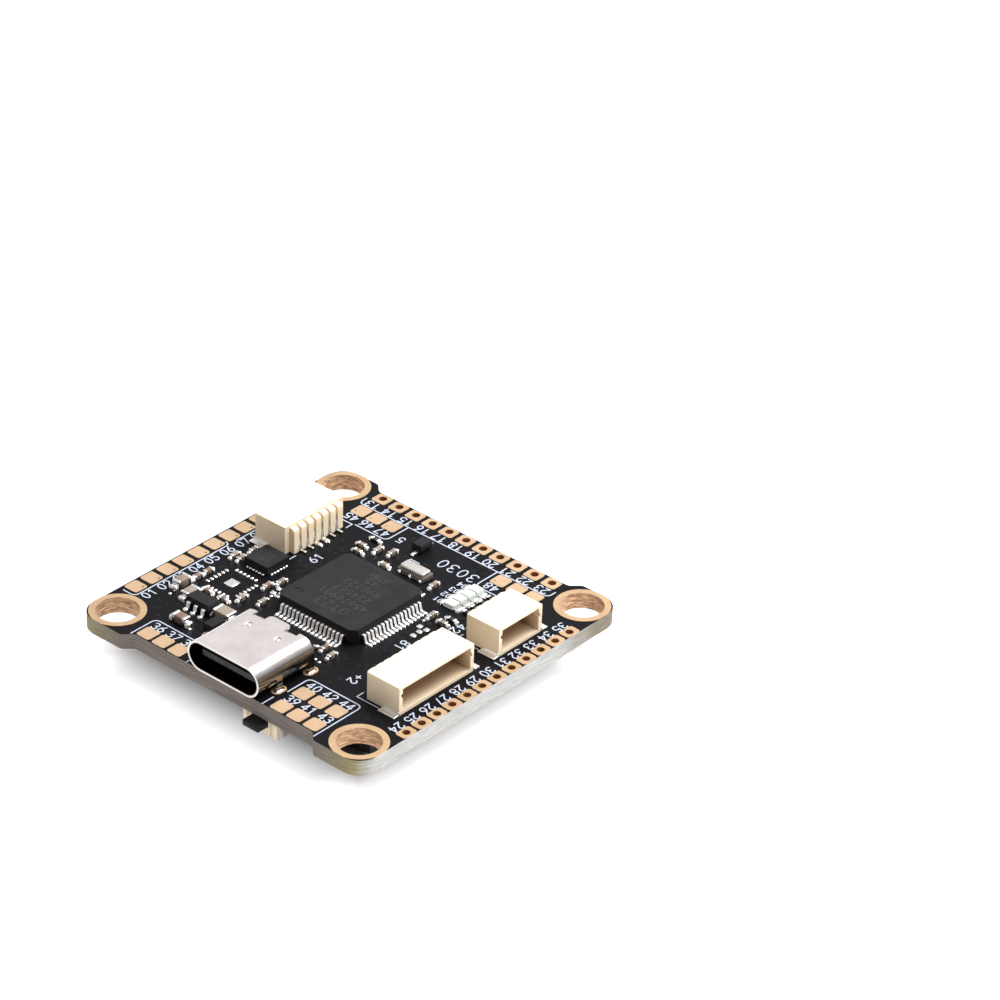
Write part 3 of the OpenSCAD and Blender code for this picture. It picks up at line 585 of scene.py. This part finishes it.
def outward(terminal, centre):
    """The axis and sense in which a terminal points away from its part's centre."""
    d = middle(terminal) - centre
    return ("x", math.copysign(1, d.x)) if abs(d.x) > abs(d.y) else ("y", math.copysign(1, d.y))


def nearest(corners, others):
    """The centre of the nearest of the others on the same face of the board."""
    side = face_of(corners)[0]
    centres = [middle(o) for o in others if face_of(o)[0] == side]
    return min(centres, key=lambda centre: (centre - middle(corners)).length)


def solder_chip_ends(name, bodies, terminals, spread, rise):
    """A fillet against the outer end of every end cap."""
    bm = bmesh.new()
    parts = islands(bodies)
    for cap in islands(terminals):
        side, face = face_of(cap)
        along, sense = outward(cap, nearest(cap, parts))
        k = "xy".index(along)
        size = cap[1] - cap[0]
        place = middle(cap)
        place[k] += sense * (size[k] / 2 + spread / 2 - 0.06)
        place.z = face
        mound(bm, place, spread + 0.2, size[1 - k] * 1.12, size.z * rise, along, side)
    return made_piece(name, bm, SOLDER, 60)


def solder_feet(name, terminals, centre_of, length, width, height, inset):
    """A fillet around the outer end of every lead."""
    bm = bmesh.new()
    for lead in islands(terminals):
        side, face = face_of(lead)
        along, sense = outward(lead, centre_of(lead))
        k = "xy".index(along)
        place = middle(lead)
        place[k] = (lead[1] if sense > 0 else lead[0])[k] - sense * inset
        place.z = face
        mound(bm, place, length, width, height, along, side)
    return made_piece(name, bm, SOLDER, 60)


def solder_pads(name, pads, grow, height):
    """A flat dome over every pad of a node."""
    bm = bmesh.new()
    for pad in islands(pads):
        side, face = face_of(pad)
        size = pad[1] - pad[0]
        place = middle(pad)
        place.z = face
        mound(bm, place, size.x + grow, size.y + grow, height, "x", side)
    return made_piece(name, bm, SOLDER, 60)


CHIP_ENDS = [
    # kind of part, its body's node, how far a fillet spreads, its height as a share of the end cap's
    ("small_capacitor", "bodies", 0.34, 0.75), ("large_capacitor", "bodies", 0.5, 0.6),
    ("resistor", "bodies", 0.34, 0.8), ("diode", "bodies", 0.3, 1.2), ("status_led", "bases", 0.4, 1.3),
    ("inductor", "cores", 0.5, 1.6), ("bulk_capacitor", "bodies", 0.5, 1.6),
]
for part, body, spread, rise in CHIP_ENDS:
    solder_chip_ends(f"solder_{part}s", f"{part}_{body}", f"{part}_terminals", spread, rise)
solder_feet("solder_processor", "processor_leads", lambda lead: middle(box("processor_package")),
            0.8, 0.36, 0.16, 0.16)
solder_feet("solder_regulator", "regulator_leads", lambda lead: middle(box("regulator_package")),
            0.7, 0.55, 0.2, 0.1)
solder_feet("solder_converters", "converter_leads",
            lambda lead: nearest(lead, islands("converter_packages")), 0.7, 0.55, 0.2, 0.1)
solder_feet("solder_display_chip", "display_chip_leads", lambda lead: middle(box("display_chip_package")),
            0.95, 0.34, 0.12, 0.2)
for count in ("eight", "four", "six"):
    solder_feet(f"solder_{count}_pin_contacts", f"{count}_pin_contacts",
                lambda lead, count=count: middle(box(f"{count}_pin_housing")), 1.2, 0.5, 0.22, 0.35)
solder_pads("solder_spare_footprint", "spare_sensor_footprint", 0.04, 0.1)
solder_pads("solder_bare_pads", "bare_part_pads", 0.04, 0.08)
solder_pads("solder_motion_sensor", "motion_sensor_pads", 0.08, 0.12)
solder_pads("solder_memory_chip", "memory_chip_pads", 0.15, 0.14)
solder_pads("solder_boot_switch", "boot_switch_terminals", 0.3, 0.2)


def solder_slots():
    """Solder that fills the oval slots of the charging socket around its legs."""
    bm = bmesh.new()
    for low, high in islands("usb_slot_plating"):
        spot, size = middle((low, high)), high - low
        mound(bm, (spot.x, spot.y, TOP - 0.06), size.x - 0.34, size.y - 0.34, 0.15)
    return made_piece("solder_usb_slots", bm, SOLDER, 60)


def solder_crystal():
    """Fillets up the castellations of the crystal's base, on both long sides."""
    bm = bmesh.new()
    low, high = box("crystal_base")
    for y in (low.y - 0.03, high.y + 0.03):
        for x in (low.x + 0.3, (low.x + high.x) / 2, high.x - 0.3):
            mound(bm, (x, y, TOP), 0.42, 0.3, 0.34)
    return made_piece("solder_crystal", bm, SOLDER, 60)


TEST_POINTS = [(-13.75, -9.95), (-11.1, -10.1), (-8.2, -12.9), (6.3, 3.1), (3.5, -8.5), (4.1, -8.6),
               (-6.7, -3.7), (-8.6, -4.9), (-12.5, -6.0)]


def stray_solder():
    """Small bright test points and vias filled with solder, between the chip parts."""
    bm = bmesh.new()
    for x, y in TEST_POINTS:
        if bare_board(x, y, 0.2):
            mound(bm, (x, y, TOP), 0.34, 0.34, 0.1)
    return made_piece("stray_solder", bm, SOLDER, 60)


solder_slots()
solder_crystal()
stray_solder()


# ---------------------------------------------------------------- lines, numbers and signs

def arc(cx, cy, rx, ry, start, end, steps=9):
    """Points along an ellipse between two angles in degrees."""
    turns = [math.radians(start + (end - start) * k / steps) for k in range(steps + 1)]
    return [(cx + rx * math.cos(a), cy + ry * math.sin(a)) for a in turns]


GLYPH_WIDTH = 0.6
GLYPHS = {
    "0": [arc(0.3, 0.5, 0.28, 0.5, 90, 450, 16)],
    "1": [[(0.1, 0.78), (0.34, 1.0), (0.34, 0.0)]],
    "2": [arc(0.3, 0.72, 0.28, 0.28, 165, -35) + [(0.02, 0.0), (0.58, 0.0)]],
    "3": [arc(0.28, 0.75, 0.27, 0.25, 150, -90), arc(0.28, 0.26, 0.3, 0.26, 90, -150)],
    "4": [[(0.44, 0.0), (0.44, 1.0), (0.0, 0.32), (0.6, 0.32)]],
    "5": [[(0.54, 1.0), (0.08, 1.0), (0.05, 0.56)] + arc(0.28, 0.32, 0.3, 0.32, 115, -150)],
    "6": [[(0.48, 1.0), (0.14, 0.66), (0.04, 0.4)], arc(0.3, 0.3, 0.28, 0.3, 180, 540, 14)],
    "7": [[(0.02, 1.0), (0.58, 1.0), (0.2, 0.0)]],
    "8": [arc(0.3, 0.76, 0.23, 0.24, -90, 270, 12), arc(0.3, 0.26, 0.29, 0.26, 90, 450, 12)],
    "9": [[(0.12, 0.0), (0.46, 0.34), (0.56, 0.6)], arc(0.3, 0.7, 0.28, 0.3, 0, 360, 14)],
    "+": [[(0.3, 0.22), (0.3, 0.78)], [(0.02, 0.5), (0.58, 0.5)]],
    "-": [[(0.02, 0.5), (0.58, 0.5)]],
}


SHARP_TURN = 0.9  # radians
MITRE_LIMIT = 0.6
ROOTED = 0.01  # how far a line reaches into the face it lies on


class Pen:
    """Draws raised lines on one face of the board, or on the flat top of a part."""

    def __init__(self, height, side=1, rise=0.016):
        self.bm = bmesh.new()
        self.height, self.side, self.rise = height, side, rise
        self.strokes = 0

    def line(self, points, width, closed=False):
        """A stroke of even width; an open one is cut and overlapped wherever it turns sharply."""
        points = [Vector(p) for p in points]
        if closed:
            self.stroke(points, width, True)
            return
        start = 0
        for i in range(1, len(points) - 1):
            if (points[i] - points[i - 1]).angle(points[i + 1] - points[i], 0) > SHARP_TURN:
                self.stroke(points[start:i + 1], width, False)
                start = i
        self.stroke(points[start:], width, False)

    def stroke(self, points, width, closed):
        """One smooth run of a line, with round ends unless it's closed."""
        count = len(points)
        half = width / 2
        pairs = []
        for i, p in enumerate(points):
            steps = []
            if closed or i:
                steps.append((p - points[i - 1]).normalized())
            if closed or i < count - 1:
                steps.append((points[(i + 1) % count] - p).normalized())
            ahead = sum(steps, Vector((0, 0))).normalized()
            across = Vector((-ahead.y, ahead.x))
            reach = half / max(MITRE_LIMIT, ahead.dot(steps[0]))
            if not closed and i in (0, count - 1):
                back = -1 if i == 0 else 1
                caps = [(back * half * math.sin(a), half * math.cos(a)) for a in (1.35, 0.85, 0.4, 0)]
                caps = caps if i == 0 else caps[::-1]
                pairs += [(p + ahead * along + across * wide, p + ahead * along - across * wide)
                          for along, wide in caps]
            else:
                pairs.append((p + across * reach, p - across * reach))
        self.strip(pairs, closed)

    def strip(self, pairs, closed):
        """A closed low strip between pairs of points; each stroke is a hair higher than the last."""
        lift = self.rise + 0.0004 * (self.strokes % 8)
        self.strokes += 1
        rings = []
        for left, right in pairs:
            heights = (self.height + self.side * lift, self.height - self.side * ROOTED)
            corners = [(left, 0), (right, 0), (right, 1), (left, 1)]
            rings.append([self.bm.verts.new((p.x, p.y, heights[k])) for p, k in corners])
        turns = list(zip(rings, rings[1:] + rings[:1])) if closed else list(zip(rings, rings[1:]))
        for a, b in turns:
            for k in range(4):
                j = (k + 1) % 4
                self.bm.faces.new((a[k], a[j], b[j], b[k]))
        if not closed:
            self.bm.faces.new(rings[0][::-1])
            self.bm.faces.new(rings[-1])

    def write(self, text, place, size, turn=0, width=0.135, gap=0.26):
        """Numbers and signs centred on place, turned by turn degrees, size high."""
        spread = size * (len(text) * GLYPH_WIDTH + (len(text) - 1) * gap)
        a = math.radians(turn)
        for i, letter in enumerate(text):
            for stroke in GLYPHS[letter]:
                points = []
                for u, v in stroke:
                    x = self.side * (size * (u + i * (GLYPH_WIDTH + gap)) - spread / 2)
                    y = size * (v - 0.5)
                    points.append((place[0] + x * math.cos(a) - y * math.sin(a),
                                   place[1] + x * math.sin(a) + y * math.cos(a)))
                closed = (Vector(points[0]) - Vector(points[-1])).length < 1e-6
                self.line(points[:-1] if closed else points, width, closed)

    def dot(self, place, radius):
        points = arc(place[0], place[1], radius / 2, radius / 2, 0, 360, 12)[:-1]
        self.line(points, radius, closed=True)

    def done(self, name, material):
        return made_piece(name, self.bm, material)


def rounded(points, radius):
    """An open line with its inner corners rounded off."""
    steps = 4
    points = [Vector(p) for p in points]
    out = [points[0]]
    for before, p, after in zip(points, points[1:], points[2:]):
        a = p + (before - p).normalized() * radius
        b = p + (after - p).normalized() * radius
        for k in range(steps + 1):
            t = k / steps
            out.append(a * (1 - t) ** 2 + p * 2 * t * (1 - t) + b * t ** 2)
    return out + [points[-1]]


LETTER = 0.95
LINE = 0.13
PAD_FRAMES = [
    # from the front of the left edge, round by the front, to the rear
    [(-17.3, -12.5), (-15.8, -12.5), (-15.8, 0.1), (-16.4, 0.1)],
    [(-15.8, 1.0), (-15.8, 12.6), (-17.3, 12.6)],
    [(-11.6, -17.1), (-11.6, -13.9), (-4.7, -13.9)],
    [(5.3, -14.0), (5.3, -11.1), (11.75, -11.1), (11.75, -17.4)],
    [(-12.1, 15.2), (-12.1, 14.1), (12.0, 14.1), (12.0, 15.2)],
    [(5.75, 14.1), (5.75, 10.9), (8.5, 10.9)],
    [(-5.6, 14.1), (-5.6, 10.9), (-9.6, 10.9)],
]
SOCKET_MARKS = [[(4.95, -16.9), (4.95, -15.5)], [(-4.6, -16.9), (-4.6, -15.5)]]
PART_NUMBERS = [((7.65, -1.3), "81", -90), ((8.3, -8.3), "+2", -90), ((9.5, 4.3), "42", -90),
                ((-8.2, 3.9), "61", 90), ((-4.6, 11.9), "5", 180)]


def pad_numbers(pen, node, start, offset, turn):
    """A two-figure number beside every pad of a node; counts on from start."""
    pads = sorted({(round(middle(b).x, 2), round(middle(b).y, 2)) for b in islands(node)})
    for k, (x, y) in enumerate(pads):
        pen.write(f"{start + k:02d}", (x + offset[0], y + offset[1]), LETTER, turn)
    return start + len(pads)


def housing_brackets(pen):
    """A bracket beside both ends of every connector's housing."""
    clear = 0.35
    for name, side in (("eight", -1), ("four", -1), ("six", 1)):
        housing, tabs = box(f"{name}_pin_housing"), box(f"{name}_pin_tabs")
        rear = (housing[0] if side < 0 else housing[1]).x + side * 0.3
        front = (tabs[0] if side < 0 else tabs[1]).x + side * 0.25
        for y, out in ((housing[0].y, -1), (housing[1].y, 1)):
            pen.line([(rear, y - out * 0.5), (rear, y + out * clear), (front, y + out * clear)], 0.12)


def upper_print():
    """Numbers beside the pads and the parts, and the outlines around groups of pads."""
    pen = Pen(TOP)
    count = pad_numbers(pen, "left_wire_pads", 1, (1.75, 0), 90)
    count = pad_numbers(pen, "rear_wire_pads", count, (0, -1.4), 180)
    count = pad_numbers(pen, "right_wire_pads", count, (-1.15, 0), -90)
    count = pad_numbers(pen, "front_left_pads", count, (0, 1.35), 0)
    count = pad_numbers(pen, "front_right_pads", count, (0, 1.38), 0)
    pad_numbers(pen, "rear_inner_pads", count, (0, -1.4), 180)
    for points in PAD_FRAMES:
        pen.line(rounded(points, 0.6), LINE)
    for points in SOCKET_MARKS:
        pen.line(points, LINE)
    housing_brackets(pen)
    for place, text, turn in PART_NUMBERS:
        pen.write(text, place, LETTER, turn)
    for k, (low, high) in enumerate(islands("status_led_bases")):
        pen.write(f"0{k + 1}", (low.x - 1.05, (low.y + high.y) / 2), 0.66, 180, 0.11)
    low, high = box("crystal_base")
    left, above = low.x - 0.5, high.y + 0.9
    pen.line([(left, high.y + 0.2), (left, above), (low.x + 0.6, above)], 0.12)
    pen.write("3030", (2.95, 11.6), 1.3, 180, gap=0.35)
    return pen.done("upper_print", SILK)


def lower_print():
    """Numbers beside the wire holes, and a bracket beside each large part of the underside."""
    pen = Pen(0, side=-1)
    pad_numbers(pen, "right_wire_pads", 24, (-1.15, 0), -90)
    pad_numbers(pen, "rear_wire_pads", 13, (0, -1.4), 180)
    for node in ("inductor_cores", "bulk_capacitor_bodies", "display_chip_package", "memory_chip_package"):
        for low, high in islands(node):
            left, right = low.x - 0.7, high.x + 0.7
            below, above = low.y - 0.35, high.y + 0.35
            pen.line(rounded([(left, below), (right, below), (right, above), (left, above)], 0.4), LINE)
    for k, (low, high) in enumerate(islands("inductor_cores")):
        pen.write(str(k + 1), (middle((low, high)).x, high.y + 1.0), 0.9)
    return pen.done("lower_print", SILK)


PROCESSOR_ROWS = [("0123", -3.0, 1.15), ("45678901", -1.5, 0.85), ("234567", -0.2, 0.85),
                  ("890123", 1.1, 0.85), ("45", 2.4, 0.85), ("6789", 3.5, 0.7)]


def package_marks():
    """Faint lasered figures on the chips."""
    low, high = box("processor_package")
    pen = Pen(high.z, rise=0.003)
    centre = middle((low, high))
    for text, y, size in PROCESSOR_ROWS:
        pen.write(text, (centre.x + 0.4, centre.y + y), size, 180, 0.11)
    low, high = box("motion_sensor_package")
    centre = middle((low, high))
    pen.height = high.z
    pen.write("12", (centre.x + 0.2, centre.y + 0.25), 0.55, 0, 0.06)
    pen.write("345", (centre.x, centre.y - 0.6), 0.55, 0, 0.06)
    return pen.done("package_marks", LASER)


upper_print()
lower_print()
package_marks()


# ---------------------------------------------------------------- copper under the mask

VIA_RADIUS = 0.24
VIA_FIELD = 15.4  # vias are scattered no further than this from the middle, along X and Y
VIA_TRIES = 420  # places tried; a via is made wherever the board is bare
FOOTED = [("processor_leads", "processor_package"), ("eight_pin_contacts", "eight_pin_housing"),
          ("four_pin_contacts", "four_pin_housing"), ("six_pin_contacts", "six_pin_housing")]
PLATING = 0.03  # thickness of a wire hole's plated wall


def via(pen, place):
    """A low ring of copper with a dimple in its middle."""
    radius = VIA_RADIUS * 0.62
    pen.line(arc(place[0], place[1], radius, radius, 0, 360, 12)[:-1], VIA_RADIUS * 0.76, closed=True)


def fan_out():
    """Short tracks from the leads and feet to small covered vias, wherever the board is bare."""
    chance = random.Random(7)
    pen = Pen(TOP, rise=0.005)
    for node, part in FOOTED:
        centre = middle(box(part))
        for k, lead in enumerate(islands(node)):
            along, sense = outward(lead, centre)
            axis = "xy".index(along)
            tip = middle(lead)
            tip[axis] = (lead[1] if sense > 0 else lead[0])[axis] + sense * 0.35
            reach = (0.5, 1.1, 0.8, 1.5)[k % 4]
            end = tip.copy()
            end[axis] += sense * reach
            if bare_board(end.x, end.y, 0.3):
                pen.line([(tip.x, tip.y), (end.x, end.y)], 0.13)
                via(pen, (end.x, end.y))
    for _ in range(VIA_TRIES):
        x, y = chance.uniform(-VIA_FIELD, VIA_FIELD), chance.uniform(-VIA_FIELD, VIA_FIELD)
        if bare_board(x, y, 0.42):
            via(pen, (x, y))
    return pen.done("covered_copper", MASK_RELIEF)


def open_vias():
    """Small open vias in the left and rear inner pads, drawn as dark dots of painted shade."""
    pen = Pen(TOP + 0.05, rise=0.004)
    for low, high in islands("left_wire_pads"):
        pen.dot((high.x - 0.28, high.y - 0.4), 0.1)
    for low, high in islands("rear_inner_pads"):
        pen.dot((low.x + 0.35, low.y + 0.5), 0.08)
    return pen.done("open_vias", PAINTED_VIA_SHADE)


def wire_hole_linings():
    """The thin plated wall of every wire hole: a tube inside the drilled hole of the pads."""
    bm = bmesh.new()
    around = 24
    turns = [2 * math.pi * k / around for k in range(around)]
    low, high = -0.04, TOP + 0.04
    for hole in frame["record"]["mounts"]:
        if "wire_hole" not in hole["name"]:
            continue
        x, y, _ = Vector(hole["pos_m"]) / MM
        outer = hole["dims"]["r_mm"]
        inner = outer - PLATING
        rings = []
        for r, z in ((outer, low), (outer, high), (inner, high), (inner, low)):
            rings.append([bm.verts.new((x + r * math.cos(a), y + r * math.sin(a), z)) for a in turns])
        for first, second in zip(rings, rings[1:] + rings[:1]):
            for k in range(around):
                j = (k + 1) % around
                bm.faces.new((first[k], first[j], second[j], second[k]))
    return made_piece("wire_hole_linings", bm, BORE_WALL)


fan_out()
open_vias()
wire_hole_linings()


# ---------------------------------------------------------------- charging socket details

def shell_dimples():
    """Two small round embossings, near the rear of the shell's top."""
    bm = bmesh.new()
    low, high = box("usb_shell")
    centre = (low.x + high.x) / 2
    for x in (centre - 1.81, centre + 1.81):
        mound(bm, (x, low.y + 5.2, high.z - 0.1), 0.5, 0.5, 0.11)
    return made_piece("shell_dimples", bm, NICKEL, 60)


shell_dimples()


# ---------------------------------------------------------------- studio

def camera():
    """The viewpoint: in front and to the right, looking down on the board."""
    azimuth, elevation, roll = (math.radians(a) for a in (40.083, 31.643, 2.146))
    distance, aim_right, aim_up, lens = 369.32, 13.84, 10.01, 143.2
    back = Vector((math.sin(azimuth) * math.cos(elevation), -math.cos(azimuth) * math.cos(elevation),
                   math.sin(elevation)))
    level = Vector((math.cos(azimuth), math.sin(azimuth), 0))
    rise = back.cross(level)
    right = level * math.cos(roll) + rise * math.sin(roll)
    up = rise * math.cos(roll) - level * math.sin(roll)
    place = (back * distance + right * aim_right + up * aim_up + Vector((0, 0, TOP))) * MM
    data = bpy.data.cameras.new("camera")
    data.lens = lens
    data.sensor_width = 36
    data.clip_start = 0.01
    data.clip_end = 20
    made = bpy.data.objects.new("camera", data)
    made.matrix_world = Matrix((right, up, back)).transposed().to_4x4()
    made.matrix_world.translation = place
    bpy.context.scene.collection.objects.link(made)
    bpy.context.scene.camera = made


def area_light(name, place, size, watts):
    data = bpy.data.lights.new(name, "AREA")
    data.shape = "DISK"
    data.size = size * MM
    data.energy = watts
    made = bpy.data.objects.new(name, data)
    made.location = Vector(place) * MM
    made.rotation_euler = (-Vector(place)).to_track_quat("-Z", "Y").to_euler()
    bpy.context.scene.collection.objects.link(made)


def soft_sky():
    """A near white sky, brightest above the rear left."""
    world = bpy.data.worlds.new("studio")
    world.use_nodes = True
    tree = world.node_tree
    background = tree.nodes["Background"]
    background.inputs["Color"].default_value = (1.0, 0.975, 0.965, 1)
    towards = tree.nodes.new("ShaderNodeVectorMath")
    towards.operation = "DOT_PRODUCT"
    towards.inputs[1].default_value = (-0.35, 0.32, 1.0)
    brightness = tree.nodes.new("ShaderNodeMapRange")
    for socket, number in zip(brightness.inputs[1:5], (-0.1, 0.7, 0.1, 0.9)):
        socket.default_value = number
    coordinates = tree.nodes.new("ShaderNodeTexCoord")
    tree.links.new(coordinates.outputs["Generated"], towards.inputs[0])
    tree.links.new(towards.outputs["Value"], brightness.inputs[0])
    tree.links.new(brightness.outputs[0], background.inputs["Strength"])
    bpy.context.scene.world = world


def table():
    """The floor under the board's lowest parts."""
    bm = bmesh.new()
    bmesh.ops.create_grid(bm, x_segments=8, y_segments=8, size=2500)
    mesh = bpy.data.meshes.new("floor")
    bm.to_mesh(mesh)
    bm.free()
    mesh.transform(Matrix.Translation((0, 0, FLOOR * MM)) @ Matrix.Scale(MM, 4))
    mesh.materials.append(floor_material())
    floor = bpy.data.objects.new("floor", mesh)
    bpy.context.scene.collection.objects.link(floor)


camera()
soft_sky()
area_light("key", (60, 230, 400), 340, 3.4)
area_light("right_fill", (420, 60, 160), 220, 0.8)
table()
bpy.context.scene.view_settings.view_transform = "Standard"
